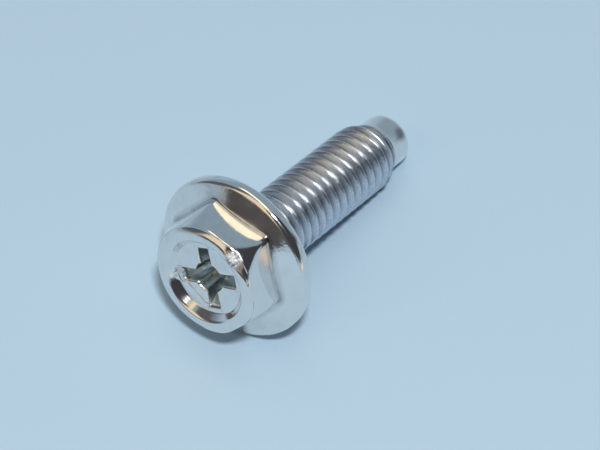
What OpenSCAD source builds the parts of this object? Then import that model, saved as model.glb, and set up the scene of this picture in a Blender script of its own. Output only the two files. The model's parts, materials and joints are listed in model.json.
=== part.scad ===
// Flanged hex screw with a dished head, a cross recess and a pilot point, in one piece.
// It is built along its own axis, with the bearing face at zero and the tip upward.
// It is then laid down as it comes to rest, on the edge of its flange and on its thread or its pilot.

/* [Thread] */
// Major diameter of the right-hand thread
thread_d = 6; // [5.6:0.1:8]
// Advance of the thread in one turn
pitch = 1; // [0.75:0.05:1.1]
// Bearing face to the last full crest
thread_end = 16.8; // [12:0.1:60]
// Plain neck between the bearing face and the first turn
neck_len = 1.1; // [0.6:0.1:4]
// Diameter of the blank that the thread is rolled on, seen at the neck
neck_d = 5.4; // [5:0.1:5.5]
// Fillet where the neck meets the bearing face
neck_fillet = 0.35; // [0.1:0.05:0.5]

/* [Point] */
// Length of the cone between the last full crest and the pilot
taper_len = 1.7; // [0.8:0.1:4]
// Diameter of the plain pilot
pilot_d = 4.5; // [3:0.1:4.6]
// Length of the pilot beyond the cone
pilot_len = 2.4; // [1.2:0.1:6]
// Rounding at the end of the pilot
pilot_round = 0.7; // [0.2:0.1:1]

/* [Flange] */
// Diameter of the flange
flange_d = 14.2; // [13:0.1:18]
// Height of the edge of the flange
flange_edge = 1.1; // [1:0.05:2]
// Slope of the top of the flange, in degrees
flange_slope = 18; // [8:1:25]
// Rounding of the edge on the bearing side
edge_round = 0.45; // [0.2:0.05:0.5]
// Rounding of the edge on the head side
shoulder_round = 0.5; // [0.2:0.05:0.55]

/* [Hex] */
// Height of the head above the bearing face
head_h = 5.05; // [4.8:0.05:8]
// Width across the flats
hex_af = 10; // [9.6:0.1:10.8]
// Width across the rounded corners
hex_corners = 11.05; // [10.9:0.05:11.5]
// Turn of the hex and its recess about the axis, in degrees
head_turn = -23; // [-90:1:90]

/* [Rim and dish] */
// Diameter of the crest of the rim
rim_d = 8.1; // [7.6:0.1:8.4]
// Rounding from the crest towards the corners of the hex
rim_round = 1.15; // [0.8:0.05:1.25]
// Angle between the axis and the cone that takes off the corners
corner_angle = 20; // [16:1:30]
// Depth of the dish below the crest
dish_depth = 0.7; // [0.5:0.05:1.1]
// Rounding from the crest into the dish
dish_round = 0.45; // [0.2:0.05:0.45]
// Angle between the axis and the wall of the dish
dish_angle = 33; // [10:1:45]

/* [Cross recess] */
// Depth of the recess below the floor of the dish
recess_depth = 2.6; // [1.5:0.1:2.8]
// Span over opposite wings at the floor of the dish
wing_span = 5.5; // [4.5:0.1:6]
// Span over opposite wings at the bottom of the recess
wing_bottom = 2.6; // [2.4:0.1:3.6]
// Thickness of a wing
wing_w = 1.1; // [0.8:0.05:1.4]
// Diameter of the core at the floor of the dish
core_d = 2.7; // [2.3:0.1:3.2]
// Diameter of the core at the bottom of the recess
core_bottom = 2.1; // [1.6:0.1:2.2]
// Angle between the axis and the drilled point under the core
core_point = 60; // [50:1:75]

/* [Hidden] */
$fn = 96;
arc_steps = 8;
// How far cuts and buried ends run past the surface that they meet
overlap = 0.05;

thread_r = thread_d / 2;
neck_r = neck_d / 2;
pilot_r = pilot_d / 2;
flange_r = flange_d / 2;
corner_r = hex_corners / 2;
rim_r = rim_d / 2;

// Thread form: 60 degrees between the flanks and an eighth of the pitch flat on the crest
flank_angle = 30;
thread_depth = 17 / 24 * cos(flank_angle) * pitch;
root_r = thread_r - thread_depth;
crest_flat = pitch / 8;
root_flat = pitch - crest_flat - 2 * thread_depth * tan(flank_angle);
mouth_r = thread_r + overlap;
turn_steps = 20;
runout_turns = 0.75;

// Stations along the axis, with the last full crest ending at thread_end on the lower side
taper_end = thread_end + taper_len;
tip = taper_end + pilot_len;
full_turns = floor((thread_end - neck_len) / pitch - 1 / 2);
groove_start = thread_end - crest_flat / 2 - (full_turns + 1 / 2) * pitch;
groove_turns = (taper_end - groove_start) / pitch + 1;
dish_floor = dish_depth - head_h;

// The lying screw: its axis tips down on the edge of the flange until the thread or the pilot touches
edge_r = flange_r - edge_round;
tilt = min(rest_tilt(thread_end, thread_r, 0), rest_tilt(tip - pilot_round, pilot_r - pilot_round, pilot_round));
bearing_z = edge_r * cos(tilt) + edge_round * (1 - sin(tilt));
tip_x = (tip - pilot_round) * cos(tilt) + (pilot_r - pilot_round) * sin(tilt) + pilot_round;
head_x = (rim_round - head_h) * cos(tilt) - rim_r * sin(tilt) - rim_round;
bearing_x = -(tip_x + head_x) / 2;

// Tilt at which the flange and a ring at station z, of radius r and with a rounded edge, both touch
function rest_tilt(z, r, round) =
    let(reach = z + edge_round, fall = edge_r - r)
    atan2(fall, reach) + asin((edge_round - round) / norm([reach, fall]));

// Points of an arc about x, y between two angles
function arc(x, y, r, from, to) =
    [for (i = [0:arc_steps]) let(a = from + (to - from) * i / arc_steps) [x + r * cos(a), y + r * sin(a)]];

// Radius of the bottom of the groove, which comes down from above the crest next to the neck
function groove_r(turn) =
    root_r + (thread_depth + overlap / 2) * max(0, 1 - turn / runout_turns);

// Corners of the groove after a number of turns: the root, then the open mouth above the crest
function groove_section(turn) =
    let(
        r = groove_r(turn),
        z = groove_start + pitch * turn,
        root = root_flat / 2,
        mouth = root + (mouth_r - r) * tan(flank_angle)
    )
    [for (p = [[r, -root], [mouth_r, -mouth], [mouth_r, mouth], [r, root]])
        [p[0] * cos(360 * turn), p[0] * sin(360 * turn), z + p[1]]];

// The groove between the crests, one section swept along the helix
module groove() {
    steps = ceil(groove_turns * turn_steps);
    last = 4 * steps;
    sides = [
        for (i = [0:steps - 1], j = [0:3])
            let(p = 4 * i + j, q = 4 * i + (j + 1) % 4)
            each [[p, q, q + 4], [p, q + 4, p + 4]]
    ];
    polyhedron(
        points = [for (i = [0:steps]) each groove_section(i / turn_steps)],
        faces = concat([[3, 2, 1, 0]], sides, [[last, last + 1, last + 2, last + 3]])
    );
}

// Neck, threaded length before rolling, cone and pilot as one turned profile
module shank() {
    buried = -flange_edge / 2;
    rotate_extrude()
        polygon(concat(
            [[0, buried], [neck_r + neck_fillet, buried]],
            arc(neck_r + neck_fillet, neck_fillet, neck_fillet, 270, 180),
            [[neck_r, neck_len], [thread_r, neck_len + thread_r - neck_r]],
            [[thread_r, thread_end], [pilot_r, taper_end]],
            arc(pilot_r - pilot_round, tip - pilot_round, pilot_round, 0, 90),
            [[0, tip]]
        ));
}

// Flange with a rounded edge and a sloping top
module flange() {
    shoulder_z = shoulder_round / cos(flange_slope) - shoulder_round * tan(flange_slope) - flange_edge;
    rotate_extrude()
        polygon(concat(
            [[0, 0]],
            arc(edge_r, -edge_round, edge_round, 90, 0),
            arc(flange_r - shoulder_round, shoulder_z, shoulder_round, 0, flange_slope - 90),
            [[0, -flange_edge - flange_r * tan(flange_slope)]]
        ));
}

// Dish, rim and the cone over the corners as one turned profile
module rim() {
    wall_from = arc(rim_r, dish_round - head_h, dish_round, 270, 180 + dish_angle)[arc_steps];
    floor_r = wall_from[0] - (dish_floor - wall_from[1]) * tan(dish_angle);
    cone_from = arc(rim_r, rim_round - head_h, rim_round, 270, 360 - corner_angle)[arc_steps];
    outside = corner_r + overlap;
    rotate_extrude()
        polygon(concat(
            [[0, 0], [0, dish_floor], [floor_r, dish_floor]],
            arc(rim_r, dish_round - head_h, dish_round, 180 + dish_angle, 270),
            arc(rim_r, rim_round - head_h, rim_round, 270, 360 - corner_angle),
            [[outside, cone_from[1] + (outside - cone_from[0]) / tan(corner_angle)], [outside, 0]]
        ));
}

// Hex with rounded corners, shaped by the rim profile
module hex_head() {
    buried = flange_edge / 2;
    intersection() {
        translate([0, 0, -head_h - overlap])
            linear_extrude(head_h + overlap - buried)
                intersection() {
                    circle(d = hex_af / cos(30), $fn = 6);
                    circle(r = corner_r);
                }
        rim();
    }
}

// One pair of wings of the recess, seen from the side as a trapezoid
module wing_pair() {
    lean = (wing_span - wing_bottom) / 2 / recess_depth;
    mouth = wing_span / 2 + lean * overlap;
    rotate([90, 0, 0])
        translate([0, dish_floor, -wing_w / 2])
            linear_extrude(wing_w)
                polygon([
                    [-mouth, -overlap],
                    [mouth, -overlap],
                    [wing_bottom / 2, recess_depth],
                    [-wing_bottom / 2, recess_depth]
                ]);
}

// Cross recess: two crossing pairs of wings about a tapered core with a pointed bottom
module recess() {
    lean = (core_d - core_bottom) / 2 / recess_depth;
    for (turn = [0, 90])
        rotate(turn) wing_pair();
    translate([0, 0, dish_floor])
        rotate_extrude()
            polygon([
                [0, -overlap],
                [core_d / 2 + lean * overlap, -overlap],
                [core_bottom / 2, recess_depth],
                [0, recess_depth + core_bottom / 2 / tan(core_point)]
            ]);
}

// The whole screw, laid down at rest
module screw() {
    color("silver")
        translate([bearing_x, 0, bearing_z])
            rotate([0, 90 + tilt, 0])
                difference() {
                    union() {
                        flange();
                        rotate(head_turn) hex_head();
                        shank();
                    }
                    rotate(head_turn) recess();
                    groove();
                }
}

screw();
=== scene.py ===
# A flanged hex screw at rest on its flange and its pilot point, all of it one closed surface:
# recess, dish, rim, hex, flange and neck as rings, the thread as one helical strip, then the pilot.
import json
import math

import bpy
import numpy as np
from mathutils import Matrix, Vector


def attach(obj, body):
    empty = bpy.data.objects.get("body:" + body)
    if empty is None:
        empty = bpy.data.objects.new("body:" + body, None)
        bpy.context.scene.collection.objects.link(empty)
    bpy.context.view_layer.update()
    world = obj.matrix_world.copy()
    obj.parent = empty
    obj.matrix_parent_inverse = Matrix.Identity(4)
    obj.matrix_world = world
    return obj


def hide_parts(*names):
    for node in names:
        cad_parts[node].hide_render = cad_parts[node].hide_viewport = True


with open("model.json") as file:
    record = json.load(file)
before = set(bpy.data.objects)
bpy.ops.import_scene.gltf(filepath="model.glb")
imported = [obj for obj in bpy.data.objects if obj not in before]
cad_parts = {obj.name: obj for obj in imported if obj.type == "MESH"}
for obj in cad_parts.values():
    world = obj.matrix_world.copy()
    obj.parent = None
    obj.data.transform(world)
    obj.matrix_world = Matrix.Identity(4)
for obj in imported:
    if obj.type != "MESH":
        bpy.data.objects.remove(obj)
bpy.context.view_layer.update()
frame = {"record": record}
mounts = {mount["name"]: mount for mount in frame["record"]["mounts"]}

columns = 216  # points round each ring, a multiple of 4 wings and of 6 flats


# smaller of two radii, rounded where they meet: the power mean of a and b with a large negative power
def smoothMin(a, b, power):
    return (a ** -power + b ** -power) ** (-1 / power)


# larger of two radii, rounded where they meet: the same mean with a positive power
def smoothMax(a, b, power):
    return (a ** power + b ** power) ** (1 / power)


# smooth step from 0 to 1 between two values: 3t^2 - 2t^3
def fade(value, low, high):
    t = np.clip((value - low) / (high - low), 0, 1)
    return t * t * (3 - 2 * t)


# length of each step along a path: the root of the sum of its squared differences
def stepLengths(path):
    return np.hypot(*np.diff(path, axis=0).T)


# polyline whose corners are arcs: at a corner that turns by w, an arc of radius rho starts rho*tan(w/2) before it
def roundedPath(corners, radii, steps=10):
    points = [np.array([corners[0]], float)]
    for before, corner, after, rho in zip(corners[:-2], corners[1:-1], corners[2:], radii):
        corner = np.array(corner, float)
        into = corner - before
        away = np.array(after) - corner
        into = into / np.hypot(*into)
        away = away / np.hypot(*away)
        turn = math.atan2(into[0] * away[1] - into[1] * away[0], into @ away)
        side = np.array([-into[1], into[0]]) * np.sign(turn)
        start = corner - into * rho * math.tan(abs(turn) / 2)
        sweep = np.linspace(0, abs(turn), steps + 1)[:, None]
        points.append(start + rho * (np.sin(sweep) * into + (1 - np.cos(sweep)) * side))
    points.append(np.array([corners[-1]], float))
    return np.concatenate(points)


# points added along the straight stretches of a path, so that no step is longer than the given one
def evenPath(path, step):
    counts = np.maximum(1, np.ceil(stepLengths(path) / step)).astype(int)
    begin = np.repeat(np.arange(len(counts)), counts)
    share = np.concatenate([np.arange(n) / n for n in counts])[:, None]
    return np.concatenate([path[begin] + share * (path[begin + 1] - path[begin]), path[-1:]])


# All sizes below are in mm along the screw's own axis: bearing face at 0, tip at +z, head at -z.
headSpec = {
    "height": 5.05,
    "turn": -23,            # degrees about the axis, to a corner of the hex and a wing of the recess
    "flat": 4.8,            # middle of the hex to a flat
    "cornerRound": 0.65,
    "offAxis": (0.2, 127),  # how far the hex was struck off the axis, and towards which angle
    "gather": 0.3,          # spacing of the columns at a corner of the hex, as a share of an even one
    "edgePower": 48,        # the higher, the sharper the edge between the flats and the rim
    "rim": 3.95,
    "rimFall": 45,          # degrees that the rim has turned down where the cone over the corners begins
    "rimEnd": 4.85,         # radius there
    "rimBlend": 0.6,        # rounding from there to the cone
    "rimCone": 20,          # degrees to the axis
    "coneReach": 4.0,       # the cone is drawn this far down, past the flange
    "rimStep": 0.02,        # longest step along the drawn rim
    "dishDepth": 0.7,
    "dishRound": 0.45,
    "dishWall": 39,         # degrees to the axis
    "dishFillet": 0.14,
    "dishStep": 0.08,       # longest step along the wall of the dish
    "floorMargin": 0.16,    # level floor between the last ring round the recess and the wall
    # blow on the rim next to a corner: radius and angle of its middle, depth, reach across and along the rim
    "dent": (4.6, 213, 0.2, 0.28, 0.75),
    "dentFade": (3.0, 3.9),  # heights between which it fades down the flats
    "flange": 7.1,
    "flangeEdge": 1.1,
    "flangeSlope": 19.5,
    "flangeFillet": 0.28,   # between the hex and the flange
    "flangeStep": 0.6,
    "shoulderRound": 0.5,
    "shoulderStart": 0.02,  # the turned flange starts this far inside the shoulder
    "edgeRound": 0.45,
    # rings down a flat, as shares of its height: close together under the edge
    "flatRings": [0.012, 0.026, 0.045, 0.07, 0.11, 0.17, *np.linspace(0.25, 1, 8)],
}

recessSpec = {
    "depth": 2.6,
    "wingMouth": 2.68,      # half the span at the floor of the dish, before the lip
    "wingBottom": 1.3,
    "halfWidth": 0.53,
    "halfWidthBottom": 0.48,
    "core": 1.32,
    "coreBottom": 1.05,
    "corePoint": 60,        # degrees to the axis
    "lip": 0.2,
    "levels": 16,
    "tipShare": 0.26,       # share of the columns across the end of a wing
    "sideShare": 0.44,      # share of them along its side
    "pointRings": [0.35, 0.7, 1.0],
    "floorRings": [0.12, 0.3, 0.5, 0.7, 0.86, 1.0],
}

threadSpec = {
    "radius": 3.0,
    "pitch": 1.0,
    "neck": 2.7,
    "neckFillet": 0.35,
    "neckEnd": 1.1,
    "start": 1.2375,        # where the groove begins, on the lower side
    "runOut": 0.75,         # turns in which it deepens
    "runOutLift": 0.03,     # how far above the crest it begins
    "end": 16.8,            # last full crest
    "taperEnd": 18.5,
    "stripPast": 0.25,      # the helical strip ends this far past the cone
    "pilot": 2.25,
    "pilotPower": 46,       # the higher, the sharper the corner between the cone and the pilot
    "pilotStep": 0.3,
    "poleRing": 0.25,       # radius of the last ring round the pole
    "tip": 20.9,
    "tipRound": 0.7,
    "crestPower": 90,       # the higher, the sharper the edge between the flanks and the crest
    "rootRound": 0.1446,    # rounding of the root, in pitches
    "seam": 0.055,          # depth of the rolled seam on the last crests, in pitches
    "seamWidth": 0.035,     # its half width, in pitches
    "seamFrom": (-3.2, 0.3),  # where it begins and is whole, from the last full crest
    # places across one pitch, from crest to crest
    "across": [-0.5, -0.455, -0.415, -0.35, -0.27, -0.18, -0.09, 0, 0.09, 0.18, 0.27, 0.35, 0.415, 0.455],
}

turnHead = math.radians(headSpec["turn"])
offBy, offTowards = headSpec["offAxis"]
hexOff = offBy * np.array([math.cos(math.radians(offTowards)), math.sin(math.radians(offTowards))])
column = np.arange(columns)
evenAngle = turnHead + 2 * np.pi * column / columns
headTop = -headSpec["height"]
dishFloor = headTop + headSpec["dishDepth"]


# angle and radius of the cross outline at depth d: columns are shared out so that some stand on its corners
# |angle| < tip corner: radius is span/cos; up to the core: width/sin; then the core's own circle
def crossOutline(depth, grow):
    r = recessSpec
    share = depth[:, None] / r["depth"]
    grow = grow[:, None]
    span = r["wingMouth"] + (r["wingBottom"] - r["wingMouth"]) * share + grow
    width = r["halfWidth"] + (r["halfWidthBottom"] - r["halfWidth"]) * share + grow
    core = r["core"] + (r["coreBottom"] - r["core"]) * share + grow
    quarter = columns // 4
    half = quarter // 2
    tipCount, sideCount = round(half * r["tipShare"]), round(half * r["sideShare"])
    coreCount = half - tipCount - sideCount
    step = (column + half) % quarter - half
    wing = (column + half) // quarter
    n = np.abs(step)[None, :]
    isTip, isSide = n <= tipCount, n <= tipCount + sideCount
    tipAngle = np.arctan2(width, span)
    sideAngle = np.arcsin(width / core)
    onTip = tipAngle * n / tipCount
    onSide = tipAngle + (sideAngle - tipAngle) * (n - tipCount) / sideCount
    onCore = sideAngle + (np.pi / 4 - sideAngle) * (n - tipCount - sideCount) / coreCount
    angle = np.where(isTip, onTip, np.where(isSide, onSide, onCore))
    sideRadius = width / np.sin(np.maximum(angle, 1e-6))
    radius = np.where(isTip, span / np.cos(angle), np.where(isSide, sideRadius, core))
    return turnHead + wing * np.pi / 2 + np.sign(step) * angle, radius, core


# recess and floor of the dish as rings: cone point, flat wing bottoms, tapering walls, a rounded lip,
# then the floor, where ring radius and angle pass in step from the cross to an even circle
def recessRings(floorEdge):
    depth, lip = recessSpec["depth"], recessSpec["lip"]
    arc = np.radians(np.linspace(0, 90, 8)[1:])
    wall = lip + (depth - lip) * (1 - np.linspace(0, 1, recessSpec["levels"]) ** 0.8)  # closer towards the lip
    depths = np.concatenate([wall, lip * (1 - np.sin(arc))])
    angle, radius, core = crossOutline(depths, np.concatenate([0 * wall, lip * (1 - np.cos(arc))]))
    height = dishFloor + np.repeat(depths[:, None], columns, 1)
    pointShare = np.array(recessSpec["pointRings"])[:, None]
    pointAngle = np.repeat(angle[:1], len(pointShare), 0)
    pointRadius = np.repeat(core[:1], columns, 1) * pointShare
    drop = recessSpec["coreBottom"] / math.tan(math.radians(recessSpec["corePoint"]))
    pointHeight = dishFloor + depth + drop * (1 - np.repeat(pointShare, columns, 1))
    share = np.array(recessSpec["floorRings"])[:, None]
    floorRadius = radius[-1:] + (floorEdge - radius[-1:]) * share
    floorAngle = angle[-1:] + (evenAngle - angle[-1:]) * share
    floorHeight = np.full_like(floorRadius, dishFloor)
    return (
        np.concatenate([pointAngle, angle, floorAngle]),
        np.concatenate([pointRadius, radius, floorRadius]),
        np.concatenate([pointHeight, height, floorHeight]),
        dishFloor + depth + drop,
    )


# radius of the hex at an angle: flat/cos(angle from the middle of a flat), and near a corner the circle of radius
# rho about a centre at distance c: c*cos(w) + sqrt(rho^2 - (c*sin(w))^2), with w the angle from the corner
def centredHex(angle):
    flat, rho = headSpec["flat"], headSpec["cornerRound"]
    fromFlat = np.abs((angle - turnHead) % (np.pi / 3) - np.pi / 6)
    fromCorner = np.pi / 6 - fromFlat
    centre = (flat - rho) / math.cos(math.pi / 6)
    rounded = centre * np.cos(fromCorner) + np.sqrt(np.maximum(rho ** 2 - (centre * np.sin(fromCorner)) ** 2, 0))
    tangent = math.atan((flat - rho) * math.tan(math.pi / 6) / flat)
    return np.where(fromFlat > tangent, rounded, flat / np.cos(fromFlat))


# the same hex as the axis sees it, which it was struck off: the radius is mended a few times by what the point
# at that angle and radius still lacks to the outline about the hex's own middle
def hexRadius(angle):
    radius = centredHex(angle)
    for _ in range(6):
        x, y = radius * np.cos(angle) - hexOff[0], radius * np.sin(angle) - hexOff[1]
        radius = radius + centredHex(np.arctan2(y, x)) - np.hypot(x, y)
    return radius


# how far a blow has pressed the rim in: depth * exp(-((across / reach)^2 + (along / reach)^2) / 2), less down
# the flats
def dentDepth(angle, radius, height):
    middle, turned, depth, reachAcross, reachAlong = headSpec["dent"]
    across = (radius - middle) / reachAcross
    along = radius * ((angle - math.radians(turned) + np.pi) % (2 * np.pi) - np.pi) / reachAlong
    return depth * np.exp(-0.5 * (across ** 2 + along ** 2)) * fade(-height, *headSpec["dentFade"])


# one angle per column, gathered near the corners of the hex: 30 degrees * (g s + (1 - g) s^3) from the nearest
# corner, where s goes evenly from -1 to 1 between the middles of two flats; then turned as the axis sees that point
def gatheredAngle():
    gather = headSpec["gather"]
    sector = columns // 6
    step = (column + sector // 2) % sector - sector // 2
    s = step / (sector / 2)
    fromCorner = np.pi / 6 * (gather * s + (1 - gather) * s ** 3)
    angle = turnHead + (column - step) / sector * np.pi / 3 + fromCorner
    radius = centredHex(angle)
    seen = np.arctan2(radius * np.sin(angle) + hexOff[1], radius * np.cos(angle) + hexOff[0])
    return angle + (seen - angle + np.pi) % (2 * np.pi) - np.pi


# dish wall, rim and cone over the corners: one turned path, as radius and height, given in two halves that meet
# at the crest of the rim
def rimPath():
    s = headSpec
    innerCorner = s["rim"] - s["dishRound"] * math.tan(math.radians(90 - s["dishWall"]) / 2)
    floorCorner = innerCorner - s["dishDepth"] * math.tan(math.radians(s["dishWall"]))
    floorEdge = floorCorner - s["floorMargin"]
    fall = math.radians(s["rimFall"])
    rimRound = (s["rimEnd"] - s["rim"]) / math.sin(fall)
    crestCorner = s["rim"] + rimRound * math.tan(fall / 2)
    bendZ = headTop + rimRound * (1 - math.cos(fall))
    coneRun = s["coneReach"] * math.tan(math.radians(s["rimCone"]))
    corners = [
        (floorEdge, dishFloor), (floorCorner, dishFloor), (innerCorner, headTop), (crestCorner, headTop),
        (s["rimEnd"], bendZ), (s["rimEnd"] + coneRun, bendZ + s["coneReach"]),
    ]
    path = roundedPath(corners, [s["dishFillet"], s["dishRound"], rimRound, s["rimBlend"]], 12)
    path = path[np.concatenate([[True], stepLengths(path) > 1e-6])]  # two arcs share the crest
    crest = int(np.argmin(np.abs(path[:, 0] - s["rim"]) + 10 * np.abs(path[:, 1] - headTop)))
    return evenPath(path[:crest + 1], s["dishStep"])[1:], evenPath(path[crest:], s["rimStep"]), floorEdge


# dish wall, rim and hex: the turned path cut by the hex, with rings that follow the curved edge where the two
# meet; then the flats, the fillet and the slope of the flange
def headRings():
    s = headSpec
    inner, outer, floorEdge = rimPath()
    along = np.concatenate([[0], np.cumsum(stepLengths(outer))])
    hexAngle = gatheredAngle()[None, :]
    hexR = hexRadius(hexAngle)
    edge = np.interp(hexR, outer[:, 0], along)
    # three stretches: crest to the bend, round the bend, then closer and closer up to the edge
    bendHalf = s["rimBlend"] * math.tan(math.radians(90 - s["rimFall"] - s["rimCone"]) / 2)
    bendAt = np.interp(s["rimEnd"], outer[:, 0], along)
    bendFrom = np.minimum(bendAt - bendHalf, 0.7 * edge)
    bendTo = np.minimum(bendAt + bendHalf, 0.86 * edge)
    t = np.linspace(0, 1, 9)[1:, None]
    toEdge = bendTo + (edge - bendTo) * (1 - (1 - t) ** 1.7)
    rimU = np.concatenate([bendFrom * t, bendFrom + (bendTo - bendFrom) * t, toEdge])
    rimAngle = evenAngle + (hexAngle - evenAngle) * np.sqrt(rimU / edge)
    rimR = smoothMin(np.interp(rimU, along, outer[:, 0]), hexRadius(rimAngle), s["edgePower"])
    rimZ = np.interp(rimU, along, outer[:, 1])
    slope = math.radians(s["flangeSlope"])
    flangeZ = -(s["flangeEdge"] + (s["flange"] - hexR) * math.tan(slope))
    flatEnd = flangeZ - s["flangeFillet"] * math.tan(math.pi / 4 - slope / 2)
    edgeZ = np.interp(edge, along, outer[:, 1])
    flatZ = edgeZ + (flatEnd - edgeZ) * np.array(s["flatRings"])[:, None]
    flatR = smoothMin(np.interp(flatZ, outer[:, 1], outer[:, 0]), hexR, s["edgePower"])
    sweep = np.linspace(0, math.pi / 2 - slope, 8)[1:, None]
    filletR = flatR[-1:] + s["flangeFillet"] * (1 - np.cos(sweep))
    filletZ = flatEnd + s["flangeFillet"] * np.sin(sweep)
    shoulder = s["flange"] - s["shoulderRound"] + s["shoulderRound"] * math.sin(slope)
    share = np.linspace(0, 1, 9)[1:-1, None]
    topR = filletR[-1:] + (shoulder - filletR[-1:]) * share
    topAngle = hexAngle + (evenAngle - hexAngle) * share
    topZ = -(s["flangeEdge"] + (s["flange"] - topR) * math.tan(slope))
    innerR = np.repeat(inner[:, :1], columns, 1)
    innerZ = np.repeat(inner[:, 1:], columns, 1)
    innerAngle = np.repeat(evenAngle[None, :], len(inner), 0)
    flatAngle = np.repeat(hexAngle, len(flatR) + len(filletR), 0)
    angle = np.concatenate([innerAngle, rimAngle, flatAngle, topAngle])
    radius = np.concatenate([innerR, rimR, flatR, filletR, topR])
    height = np.concatenate([innerZ, rimZ, flatZ, filletZ, topZ])
    height = height + dentDepth(angle, radius, height)
    # share of painted shade in the inside corner between the hex and the flange, ring by ring
    corner = np.zeros(len(radius))
    first = len(inner) + len(rimR) + len(flatR) - 1
    corner[first:first + len(filletR) + 2] = np.sin(np.pi * np.linspace(0.12, 0.9, len(filletR) + 2))
    return angle, radius, height, floorEdge, shoulder, corner


# shoulder, edge, bearing face and neck: one turned path with rounded corners
def flangeRings(shoulder, neckTop):
    s, t = headSpec, threadSpec
    startR = shoulder - s["shoulderStart"]
    startZ = -(s["flangeEdge"] + (s["flange"] - startR) * math.tan(math.radians(s["flangeSlope"])))
    corners = [
        (startR, startZ), (s["flange"], -s["flangeEdge"]), (s["flange"], 0),
        (t["neck"], 0), (t["neck"], neckTop),
    ]
    path = roundedPath(corners, [s["shoulderRound"], s["edgeRound"], t["neckFillet"]], 10)
    path = evenPath(path, s["flangeStep"])[1:]
    shape = (len(path), columns)
    radius, height = np.broadcast_to(path[:, :1], shape), np.broadcast_to(path[:, 1:], shape)
    return np.broadcast_to(evenAngle, shape), radius, height


# radius of the shank before the thread is rolled, at height z: neck, 45 degree rise, crest cylinder, cone, pilot
def blankRadius(z):
    t = threadSpec
    rise = t["neckEnd"] + t["radius"] - t["neck"]
    coneFall = (t["radius"] - t["pilot"]) / (t["taperEnd"] - t["end"])
    stations = [t["neckEnd"], rise, t["end"], t["tip"]]
    radii = [t["neck"], t["radius"], t["radius"], t["radius"] - coneFall * (t["tip"] - t["end"])]
    return smoothMax(np.interp(z, stations, radii), np.full_like(z, t["pilot"]), t["pilotPower"])


# radius of the threaded surface at a turn and a distance d from the middle of the groove:
# root + hyperbola sqrt((1.732 d)^2 + b^2) - b, whose arms are the 60 degree flanks, cut off by the blank
def threadRadius(z, d, turn):
    t = threadSpec
    pitch = t["pitch"]
    depth = 17 / 24 * math.cos(math.pi / 6) * pitch
    bend = t["rootRound"] * pitch
    lift = (depth + t["runOutLift"]) * np.clip(1 - turn / t["runOut"], 0, 1)
    groove = t["radius"] - depth + lift - bend + np.sqrt(3 * d * d + bend * bend)
    onCrest = np.exp(-((np.abs(d) / pitch - 0.5) / t["seamWidth"]) ** 2) * (turn > 0)
    seamShare = fade(z, *(t["end"] + np.array(t["seamFrom"])))
    blank = blankRadius(z) - t["seam"] * pitch * onCrest * seamShare
    return smoothMin(groove, blank, t["crestPower"])


# the thread as one strip along the helix: line i stands at angle i, and sample j lies between the line's own
# boundary and that of one turn later, so the strip joins its own next turn; both ends run flat into a ring
def threadStrip():
    t = threadSpec
    pitch = t["pitch"]
    start = t["start"] + pitch * (headSpec["turn"] / 360 - 0.5)
    finish = t["taperEnd"] + t["stripPast"]
    lines = columns + math.ceil((finish - start) * columns / pitch)
    i = np.arange(lines + columns + 1)
    boundary = np.clip(start + pitch * (i - columns) / columns, start, finish)
    boundary[lines:] = finish
    across = (np.array(t["across"]) + 0.5)[None, :]
    low = boundary[:lines, None]
    high = boundary[columns:columns + lines, None]
    z = low + (high - low) * across
    turns = i[:lines, None] / columns * np.ones_like(across)
    turn = turns - 1 + headSpec["turn"] / 360
    d = z - (start + pitch * (turns - 0.5))
    upper = d > 0.5 * pitch
    d = np.where(upper, d - pitch, d)
    turn = np.where(upper, turn + 1, turn)
    return turnHead + 2 * np.pi * turns, threadRadius(z, d, turn), z, start, finish, lines


# pilot and its rounded end, from the end of the strip to the last ring round the pole
def pilotRings(finish, lines):
    t = threadSpec
    corners = [(t["pilot"], finish), (t["pilot"], t["tip"]), (t["poleRing"], t["tip"])]
    path = evenPath(roundedPath(corners, [t["tipRound"]], 12), t["pilotStep"])
    angle = turnHead + 2 * np.pi * (lines + column) / columns
    shape = (len(path), columns)
    height = np.broadcast_to(path[:, 1:], shape)
    radius = np.where(height < t["taperEnd"] + 1, blankRadius(height), path[:, :1])  # the cone's end is blended in
    return np.broadcast_to(angle, shape), radius, height


# two triangles for each cell of a grid, given its four corners in turn
def cellFaces(a, b, c, d):
    return np.concatenate([np.stack([a, b, c], -1).reshape(-1, 3), np.stack([a, c, d], -1).reshape(-1, 3)])


# the cells of a closed ring grid, given the index of each point
def ringFaces(index):
    following = np.roll(index, -1, 1)
    return cellFaces(index[:-1], following[:-1], following[1:], index[1:])


# triangles from a pole to a ring
def fanFaces(pole, ring, flip):
    following = np.roll(ring, -1)
    first, second = (ring, following) if flip else (following, ring)
    return np.stack([np.full(columns, pole), first, second], -1)


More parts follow.
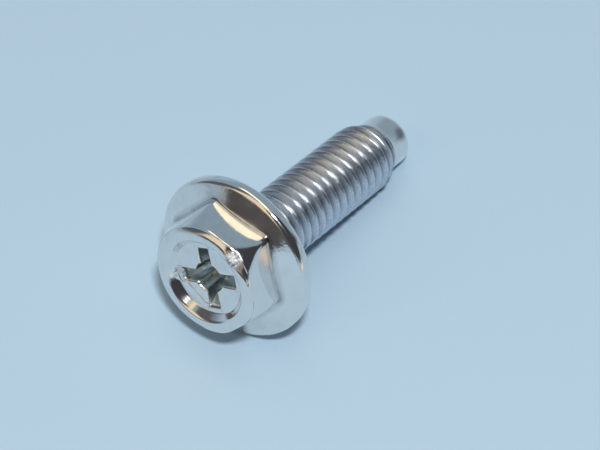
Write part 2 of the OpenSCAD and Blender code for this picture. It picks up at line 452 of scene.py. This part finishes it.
# the whole surface: rings down to the neck, the helical strip, the pilot's rings and a pole at either end;
# place = (radius*cos(angle), radius*sin(angle), height)
def buildScrew():
    headAngle, headRadius, headHeight, floorEdge, shoulder, corner = headRings()
    recAngle, recRadius, recHeight, recBottom = recessRings(floorEdge)
    stripAngle, stripRadius, stripHeight, start, finish, lines = threadStrip()
    flangeAngle, flangeRadius, flangeHeight = flangeRings(shoulder, start)
    tipAngle, tipRadius, tipHeight = pilotRings(finish, lines)
    upperAngle = np.concatenate([recAngle, headAngle, flangeAngle])
    upperRadius = np.concatenate([recRadius, headRadius, flangeRadius])
    upperHeight = np.concatenate([recHeight, headHeight, flangeHeight])
    samples = stripRadius.shape[1]
    upper = np.arange(upperRadius.size).reshape(upperRadius.shape)
    tipBase = upper.size + lines * samples
    lower = tipBase + np.arange(tipRadius.size).reshape(tipRadius.shape)
    poles = tipBase + tipRadius.size
    # index of strip point (line, sample): its ends are the neck's last ring and the pilot's first
    strip = upper.size + np.arange(lines * samples).reshape(lines, samples)
    strip[0, :] = upper[-1, 0]
    strip[:columns, 0] = upper[-1]
    strip[columns, 0] = upper[-1, 0]
    after = np.concatenate([strip[:, 0], lower[0], lower[0, :1]])
    grid = np.concatenate([strip, after[columns:columns + lines, None]], 1)
    grid = np.concatenate([grid, np.full((1, samples + 1), lower[0, 0])])
    stripFaces = cellFaces(grid[:-1, :-1], grid[1:, :-1], grid[1:, 1:], grid[:-1, 1:])
    whole = (stripFaces != np.roll(stripFaces, -1, 1)).all(1)  # the strip's two ends are narrowed to points
    faces = np.concatenate([
        fanFaces(poles, upper[0], False), ringFaces(upper), stripFaces[whole],
        ringFaces(lower), fanFaces(poles + 1, lower[-1], True),
    ])
    angle = np.concatenate([upperAngle.ravel(), stripAngle.ravel(), tipAngle.ravel(), [0, 0]])
    radius = np.concatenate([upperRadius.ravel(), stripRadius.ravel(), tipRadius.ravel(), [0, 0]])
    poleHeight = [recBottom, threadSpec["tip"]]
    height = np.concatenate([upperHeight.ravel(), stripHeight.ravel(), tipHeight.ravel(), poleHeight])
    recessed = np.zeros(len(angle))
    recessed[:(len(recessSpec["pointRings"]) + recessSpec["levels"]) * columns] = 1
    recessed[poles] = 1
    cornerShade = np.zeros(len(angle))
    cornerShade[recRadius.size:recRadius.size + headRadius.size] = np.repeat(corner, columns)
    used = np.unique(faces)
    renumber = np.zeros(len(angle), int)
    renumber[used] = np.arange(len(used))
    place = np.stack([radius * np.cos(angle), radius * np.sin(angle), height], -1)
    return place[used], renumber[faces], recessed[used], cornerShade[used]


# the lying screw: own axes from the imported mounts, place = bearing centre + x*downward + y*sideways + z*tipward
def layDown(place):
    tipward = np.array(mounts["thread"]["axis"])
    tipward = tipward / np.linalg.norm(tipward)
    sideways = np.array([0.0, 1.0, 0.0])
    downward = np.cross(sideways, tipward)
    onAxis = np.array(mounts["thread"]["pos_m"])
    bearing = onAxis + tipward * ((np.array(mounts["bearing_face"]["pos_m"]) - onAxis) @ tipward)
    return bearing + 0.001 * (place[:, :1] * downward + place[:, 1:2] * sideways + place[:, 2:] * tipward)


place, faces, recessed, cornerShade = buildScrew()
screwMesh = bpy.data.meshes.new("screwBody")
screwMesh.from_pydata(layDown(place).tolist(), [], faces.tolist())
screwMesh.polygons.foreach_set("use_smooth", np.ones(len(faces), bool))
ownPlace = screwMesh.attributes.new("ownPlace", "FLOAT_VECTOR", "POINT")
ownPlace.data.foreach_set("vector", place.astype(np.float32).ravel())
inRecess = screwMesh.attributes.new("inRecess", "FLOAT", "POINT")
inRecess.data.foreach_set("value", recessed.astype(np.float32))
inCornerShade = screwMesh.attributes.new("inCornerShade", "FLOAT", "POINT")
inCornerShade.data.foreach_set("value", cornerShade.astype(np.float32))
screwMesh.update()
screwBody = bpy.data.objects.new("screwBody", screwMesh)
bpy.context.collection.objects.link(screwBody)
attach(screwBody, "root")
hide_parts("screw")
print("screw body", len(place), "points", len(faces), "triangles")


# a new material with its nodes, links and main shader
def newMaterial(name):
    material = bpy.data.materials.new(name)
    material.use_nodes = True
    nodes, links = material.node_tree.nodes, material.node_tree.links
    return material, nodes, links, nodes["Principled BSDF"]


# a node of the given kind with its sockets set or linked, by name as in From_Min or by number as in i0
def addNode(nodes, links, kind, settings=None, **sockets):
    node = nodes.new(kind)
    for key, value in (settings or {}).items():
        setattr(node, key, value)
    for key, value in sockets.items():
        socket = node.inputs[int(key[1:])] if key[1:].isdigit() else node.inputs[key.replace("_", " ")]
        if hasattr(value, "is_linked"):
            links.new(value, socket)
        else:
            socket.default_value = value
    return node


# colours, then roughness, then heights and places in mm on the screw's own axes
zincSpec = {
    "bright": (0.82, 0.81, 0.80, 1),
    "dull": (0.68, 0.67, 0.66, 1),
    "recess": (0.60, 0.64, 0.65, 1),
    # corner: painted shade for the inside corner between the hex and the flange
    "corner": (0.30, 0.31, 0.32, 1),
    "thread": (0.62, 0.66, 0.73, 1),
    # root: painted shade for the roots of the thread, also the colour of the random dark specks
    "root": (0.28, 0.28, 0.29, 1),
    "pilotSpot": (0.30, 0.29, 0.28, 1),
    "scuff": (0.22, 0.21, 0.26, 1),
    "headRoughness": 0.075,
    "flankRoughness": 0.29,
    "crestRoughness": 0.15,
    "recessRoughness": 0.2,
    "pilotRoughness": 0.16,
    "scuffRoughness": 0.28,
    "peel": 0.004,
    "flangePeel": 0.003,    # more of it on the flange
    "grain": 0.017,
    "sideLines": 0.0035,
    "recessLines": 0.010,
    "scratchDepth": 0.035,
    "wingDents": 0.16,
    "scuffDents": 0.05,
    "scratchAlong": (0.425, -0.905, 0),
    "scratchAcross": (0.905, 0.425, 0),
    "scratchOff": 2.21,     # axis to the scratch
    "wingPlace": (1.05, 2.45, -4.3),
    "scuffPlace": (-3.73, -2.33, -4.95),
    "scuffAlong": (0.545, -0.839, 0),
    "pilotSpotPlace": (-1.72, -1.45, 19.97),
}
zinc, zincNodes, zincLinks, zincShader = newMaterial("brightZinc")


def zincNode(kind, settings=None, **sockets):
    return addNode(zincNodes, zincLinks, kind, settings, **sockets)


def mathOf(operation, a, b=0.0):
    return zincNode("ShaderNodeMath", {"operation": operation}, i0=a, i1=b).outputs[0]


def plus(a, b):
    return mathOf("ADD", a, b)


def times(a, b):
    return mathOf("MULTIPLY", a, b)


# smooth step of a value between low and high, from one result to another
def ramp(value, low, high, toLow=0.0, toHigh=1.0):
    limits = {"From_Min": low, "From_Max": high, "To_Min": toLow, "To_Max": toHigh}
    return zincNode("ShaderNodeMapRange", {"interpolation_type": "SMOOTHSTEP"}, Value=value, **limits).outputs["Result"]


def attribute(name, output):
    return zincNode("ShaderNodeAttribute", {"attribute_name": name}).outputs[output]


def vectorMath(operation, a, b=(0, 0, 0)):
    return zincNode("ShaderNodeVectorMath", {"operation": operation}, i0=a, i1=b).outputs["Value"]


def noise(place, scale, detail, rough=0.5):
    return zincNode("ShaderNodeTexNoise", Vector=place, Scale=scale, Detail=detail, Roughness=rough).outputs["Fac"]


# the screw's own coordinates, stretched for a pattern
def stretched(scale):
    return zincNode("ShaderNodeMapping", Vector=own, Scale=scale).outputs["Vector"]


# one colour laid over another by a share
def layer(share, under, colour):
    return zincNode("ShaderNodeMix", {"data_type": "RGBA"}, i0=share, i6=under, i7=colour).outputs[2]


# roughness that passes from the head's to another by a share
def rougher(under, share, name):
    return plus(under, times(share, zincSpec[name] - zincSpec["headRoughness"]))


own = attribute("ownPlace", "Vector")
recessShare = attribute("inRecess", "Fac")
cornerShadeShare = attribute("inCornerShade", "Fac")
parts = zincNode("ShaderNodeSeparateXYZ", Vector=own)
axial = parts.outputs["Z"]
fromAxis = zincNode("ShaderNodeCombineXYZ", X=parts.outputs["X"], Y=parts.outputs["Y"]).outputs[0]
radial = vectorMath("LENGTH", fromAxis)
pilotShare = ramp(axial, 17.9, 18.7)
threadShare = times(ramp(axial, 0.7, 1.5), ramp(axial, 17.9, 18.7, 1, 0))
# share of painted shade, darker towards the roots of the thread
rootShadeShare = times(threadShare, ramp(radial, 2.42, 2.74, 1, 0))
flangeShare = times(ramp(radial, 5.5, 5.8), ramp(axial, -0.9, -1.1))
sideShare = times(ramp(axial, -1.4, -1.75), mathOf("SUBTRACT", 1.0, recessShare))
dishShare = ramp(axial, -3.9, -4.1)

# plating: a faint orange peel everywhere, fine grain on the thread, drawn lines along the sides of head and recess
peel = noise(own, 2.3, 3.0, 0.55)
grain = noise(own, 10.0, 4.0, 0.65)
drawn = noise(stretched((11, 11, 0.7)), 1.0, 2.0)
blotch = noise(own, 0.8, 4.0, 0.6)
height = times(peel, plus(zincSpec["peel"], times(flangeShare, zincSpec["flangePeel"])))
height = plus(height, times(grain, times(threadShare, zincSpec["grain"])))
drawnDepth = plus(times(sideShare, zincSpec["sideLines"]), times(recessShare, zincSpec["recessLines"]))
height = plus(height, times(drawn, drawnDepth))

# marks on the floor of the dish: a scratch from one wing to the next and a battered mouth on that wing
alongScratch = vectorMath("DOT_PRODUCT", own, zincSpec["scratchAlong"])
acrossScratch = plus(vectorMath("DOT_PRODUCT", own, zincSpec["scratchAcross"]), times(blotch, 0.1))
offScratch = mathOf("ABSOLUTE", mathOf("SUBTRACT", acrossScratch, zincSpec["scratchOff"]))
scratchEnds = times(ramp(alongScratch, -1.1, -0.7), ramp(alongScratch, 1.2, 1.6, 1, 0))
scratch = times(ramp(offScratch, 0.02, 0.12, 1, 0), scratchEnds)
height = plus(height, times(times(scratch, dishShare), zincSpec["scratchDepth"]))
fromWing = vectorMath("DISTANCE", own, zincSpec["wingPlace"])
battered = times(ramp(fromWing, 0.45, 0.85, 1, 0), dishShare)
height = plus(height, times(times(battered, noise(own, 4.5, 2.0)), zincSpec["wingDents"]))

# the scuffed patch in the dent of the rim: small dents, and dark lines across the rim
fromScuff = vectorMath("DISTANCE", own, zincSpec["scuffPlace"])
scuffed = ramp(plus(fromScuff, times(grain, 0.5)), 0.6, 1.15, 1, 0)
alongScuff = times(vectorMath("DOT_PRODUCT", own, zincSpec["scuffAlong"]), 6.0)
scuffLines = noise(zincNode("ShaderNodeCombineXYZ", X=alongScuff, Y=radial).outputs[0], 1.0, 2.0)
scuffDents = noise(stretched((14, 14, 2)), 1.0, 3.0, 0.6)
height = plus(height, times(times(scuffed, scuffDents), zincSpec["scuffDents"]))
bump = zincNode("ShaderNodeBump", Strength=1.0, Distance=0.001, Height=height)
zincLinks.new(bump.outputs["Normal"], zincShader.inputs["Normal"])

flankExtra = zincSpec["flankRoughness"] - zincSpec["headRoughness"]
crestExtra = zincSpec["crestRoughness"] - zincSpec["headRoughness"]
roughness = plus(zincSpec["headRoughness"], times(threadShare, ramp(radial, 2.78, 2.96, flankExtra, crestExtra)))
roughness = rougher(roughness, recessShare, "recessRoughness")
roughness = rougher(roughness, pilotShare, "pilotRoughness")
roughness = plus(roughness, ramp(blotch, 0.35, 0.7, -0.02, 0.05))
roughness = rougher(roughness, scuffed, "scuffRoughness")
zincLinks.new(roughness, zincShader.inputs["Roughness"])

tint = layer(ramp(blotch, 0.4, 0.75, 0.0, 0.45), zincSpec["bright"], zincSpec["dull"])
# painted shade in the inside corner between the hex and the flange, patchy
tint = layer(times(cornerShadeShare, ramp(blotch, 0.3, 0.7, 0.85, 0.35)), tint, zincSpec["corner"])
tint = layer(times(scuffed, ramp(scuffLines, 0.45, 0.55, 0.0, 0.9)), tint, zincSpec["scuff"])
tint = layer(recessShare, tint, zincSpec["recess"])
tint = layer(threadShare, tint, zincSpec["thread"])
# painted shade in the roots of the thread
tint = layer(rootShadeShare, tint, zincSpec["root"])
tint = layer(times(threadShare, ramp(grain, 0.5, 0.64, 0.0, 0.6)), tint, zincSpec["root"])  # dark specks
# a dark spot on the end of the pilot, its edge made wavy by the blotches
fromPilotSpot = plus(vectorMath("DISTANCE", own, zincSpec["pilotSpotPlace"]), times(blotch, 0.3))
tint = layer(ramp(fromPilotSpot, 0.3, 1.0, 0.9, 0.0), tint, zincSpec["pilotSpot"])
zincLinks.new(tint, zincShader.inputs["Base Color"])
zincShader.inputs["Metallic"].default_value = 1
screwMesh.materials.append(zinc)
print("zinc finish ready")

floorSpec = {"half": 0.6, "colour": (0.43, 0.57, 0.69, 1), "roughness": 0.8}
floorMesh = bpy.data.meshes.new("floorSheet")
h = floorSpec["half"]
floorMesh.from_pydata([(-h, -h, 0), (h, -h, 0), (h, h, 0), (-h, h, 0)], [], [(0, 1, 2, 3)])
floorSheet = bpy.data.objects.new("floorSheet", floorMesh)
bpy.context.collection.objects.link(floorSheet)
paleFloor, floorNodes, floorLinks, floorShader = newMaterial("paleFloor")
floorShader.inputs["Base Color"].default_value = floorSpec["colour"]
floorShader.inputs["Roughness"].default_value = floorSpec["roughness"]
floorMesh.materials.append(paleFloor)

cameraSpec = {
    "place": (-122.84118661, -93.08214954, 194.87738111),  # mm
    "forward": (0.49958013, 0.377424, -0.77972484),
    "lens": 179.62,
}
cameraData = bpy.data.cameras.new("photoCamera")
cameraData.sensor_fit = "HORIZONTAL"
cameraData.sensor_width = 36
cameraData.lens = cameraSpec["lens"]
cameraData.clip_start = 0.01
photoCamera = bpy.data.objects.new("photoCamera", cameraData)
photoCamera.location = [0.001 * v for v in cameraSpec["place"]]
photoCamera.rotation_euler = Vector(cameraSpec["forward"]).to_track_quat("-Z", "Y").to_euler()
bpy.context.collection.objects.link(photoCamera)
scene = bpy.context.scene
scene.camera = photoCamera
scene.view_settings.view_transform = "Standard"

# each lamp: azimuth and elevation in degrees, distance and two sides in metres, azimuth of its first side,
# power, colour
lampSpec = {
    "ceilingLamp": (57, 79, 0.6, (0.5, 0.2), 60, 0.42, (1.0, 0.83, 0.54)),
    "windowLamp": (-136, 63, 0.6, (0.06, 0.05), -46, 2.8, (0.95, 0.98, 1.0)),
}
lampAim = Vector((0, 0, 0.005))  # middle of the screw


# a soft lamp at a direction and distance from the screw that faces it, its first side along an azimuth
def softLamp(name, azimuth, elevation, distance, sides, along, power, colour):
    a, e, b = math.radians(azimuth), math.radians(elevation), math.radians(along)
    toLamp = Vector((math.cos(a) * math.cos(e), math.sin(a) * math.cos(e), math.sin(e)))
    across = toLamp.cross(Vector((math.cos(b), math.sin(b), 0))).normalized()
    lengthwise = across.cross(toLamp)
    data = bpy.data.lights.new(name, "AREA")
    data.shape = "RECTANGLE"
    data.size, data.size_y = sides
    data.energy = power
    data.color = colour
    lamp = bpy.data.objects.new(name, data)
    lamp.matrix_world = Matrix((lengthwise, across, toLamp)).transposed().to_4x4()
    lamp.location = toLamp * distance + lampAim
    bpy.context.collection.objects.link(lamp)


for lampName, lampValues in lampSpec.items():
    softLamp(lampName, *lampValues)

# soft zones of the room that the metal reflects: middle azimuth, half its width, lowest and highest elevation,
# softness of the sides, colour
roomSpec = {
    "base": (0.40, 0.53, 0.63),
    "zones": [
        ("farWall", 10, 85, 26, 62, 24, (0.27, 0.36, 0.44)),
        ("ceiling", 0, 181, 68, 120, 8, (0.26, 0.30, 0.34)),
        ("brownWall", 126, 15, 10, 62, 13, (0.11, 0.11, 0.12)),
        ("creamHigh", -155, 36, 66, 83, 8, (0.95, 0.80, 0.56)),
        ("creamWall", 168, 16, 12, 52, 12, (0.92, 0.77, 0.55)),
        ("darkRoom", -108, 64, 14, 58, 9, (0.05, 0.05, 0.06)),
        ("darkHigh", -78, 22, 50, 67, 6, (0.05, 0.05, 0.06)),
        ("darkLow", 176, 26, -8, 9.5, 4, (0.085, 0.078, 0.08)),
        ("beigeLow", -100, 22, -8, 4, 4, (0.85, 0.77, 0.66)),
    ],
}
world = bpy.data.worlds.new("studioRoom")
scene.world = world
world.use_nodes = True
roomNodes, roomLinks = world.node_tree.nodes, world.node_tree.links
background = roomNodes["Background"]
direction = roomNodes.new("ShaderNodeTexCoord").outputs["Generated"]


def roomNode(kind, settings=None, **sockets):
    return addNode(roomNodes, roomLinks, kind, settings, **sockets)


def roomMath(operation, a, b=0.0):
    return roomNode("ShaderNodeMath", {"operation": operation}, i0=a, i1=b).outputs[0]


# smooth step of an angle between two values in degrees
def roomRamp(value, low, high):
    limits = {"From_Min": math.radians(low), "From_Max": math.radians(high)}
    return roomNode("ShaderNodeMapRange", {"interpolation_type": "SMOOTHSTEP"}, Value=value, **limits).outputs["Result"]


# distance along the horizontal line at an azimuth
def roomAlong(azimuth):
    a = math.radians(azimuth)
    line = (math.cos(a), math.sin(a), 0)
    return roomNode("ShaderNodeVectorMath", {"operation": "DOT_PRODUCT"}, i0=direction, i1=line).outputs["Value"]


upward = roomMath("ARCSINE", roomNode("ShaderNodeSeparateXYZ", Vector=direction).outputs["Z"])
shade = (*roomSpec["base"], 1)
for name, azimuth, half, low, high, soft, colour in roomSpec["zones"]:
    turned = roomMath("ABSOLUTE", roomMath("ARCTAN2", roomAlong(azimuth + 90), roomAlong(azimuth)))
    within = roomRamp(turned, half + soft, half)
    above = roomRamp(upward, low - soft, low)
    below = roomRamp(upward, high + soft, high)
    amount = roomMath("MULTIPLY", within, roomMath("MULTIPLY", above, below))
    zone = roomNode("ShaderNodeMix", {"data_type": "RGBA", "label": name}, i0=amount, i6=shade, i7=(*colour, 1))
    shade = zone.outputs[2]
roomLinks.new(shade, background.inputs["Color"])
background.inputs["Strength"].default_value = 1
print("studio ready")
